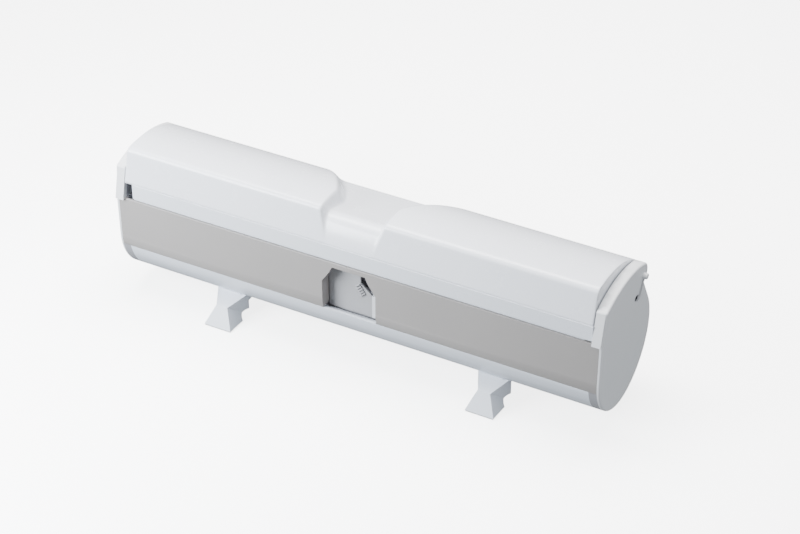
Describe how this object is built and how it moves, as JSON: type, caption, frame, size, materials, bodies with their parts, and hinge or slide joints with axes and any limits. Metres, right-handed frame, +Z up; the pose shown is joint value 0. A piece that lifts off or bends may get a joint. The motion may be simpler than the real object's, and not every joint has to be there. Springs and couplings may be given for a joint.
{
  "type": "cling film dispenser",
  "caption": "Long round-bellied dispenser for a catering roll of cling film, with a hinged lid that carries the cutter, a grey front panel and arched feet.",
  "frame": {"origin": "on the worktop, under the middle of the whole object: the middle of the two end caps along X and the middle of the feet along Y", "axes": "+X along the roll to the right as seen from the front, -Y towards the user, +Z up"},
  "size_m": [0.5112, 0.133, 0.1654],
  "materials": {
    "white_shell": "semi-gloss moulded white",
    "panel_grey": "fine satin grey",
    "lid_white": "gloss moulded white",
    "carrier_white": "semi-gloss white",
    "cap_white": "satin white",
    "inner_grey": "fine satin grey",
    "inner_white": "satin white",
    "slider_grey": "satin grey",
    "steel": "plain steel",
    "blade_steel": "ground steel",
    "pad_rubber": "grey rubber",
    "rest_foam": "soft dark strip"
  },
  "bodies": {
    "base": {"lower_shell": "white_shell", "front_panel": "panel_grey", "latch_housing": "inner_grey", "right_end_wall": "inner_grey", "left_end_wall": "inner_grey", "right_end_cap": "cap_white", "left_end_cap": "cap_white", "right_hinge_pin": "cap_white", "left_hinge_pin": "cap_white", "right_end_screws": "steel", "left_end_screws": "steel", "right_foot": "white_shell", "left_foot": "white_shell", "right_foot_pads": "pad_rubber", "left_foot_pads": "pad_rubber", "foot_screws": "steel", "film_rest": "rest_foam"},
    "lid": {"lid_shell": "lid_white", "cutter_carrier": "carrier_white", "cutter_blade": "blade_steel", "blade_screws": "steel", "carrier_screws": "steel"},
    "latch": {"latch_slider": "slider_grey", "slider_trim": "inner_white", "latch_bar": "inner_grey"},
    "right_plug": {"right_core_plug": "inner_white"},
    "left_plug": {"left_core_plug": "inner_white"}
  },
  "joints": [
    {"name": "lid_hinge", "type": "hinge", "parent": "base", "child": "lid", "pos_m": [0, 0.0292, 0.1344], "axis": [-1, 0, 0], "range_deg": [0, 105]},
    {"name": "latch_slide", "type": "slide", "parent": "base", "child": "latch", "axis": [1, 0, 0], "range_m": [0, 0.008], "stiffness_N_per_m": 300, "springref_m": -0.002},
    {"name": "right_plug_spin", "type": "hinge", "parent": "base", "child": "right_plug", "pos_m": [0.2355, 0.007, 0.068], "axis": [1, 0, 0], "continuous": true},
    {"name": "left_plug_spin", "type": "hinge", "parent": "base", "child": "left_plug", "pos_m": [-0.2355, 0.007, 0.068], "axis": [1, 0, 0], "continuous": true}
  ]
}
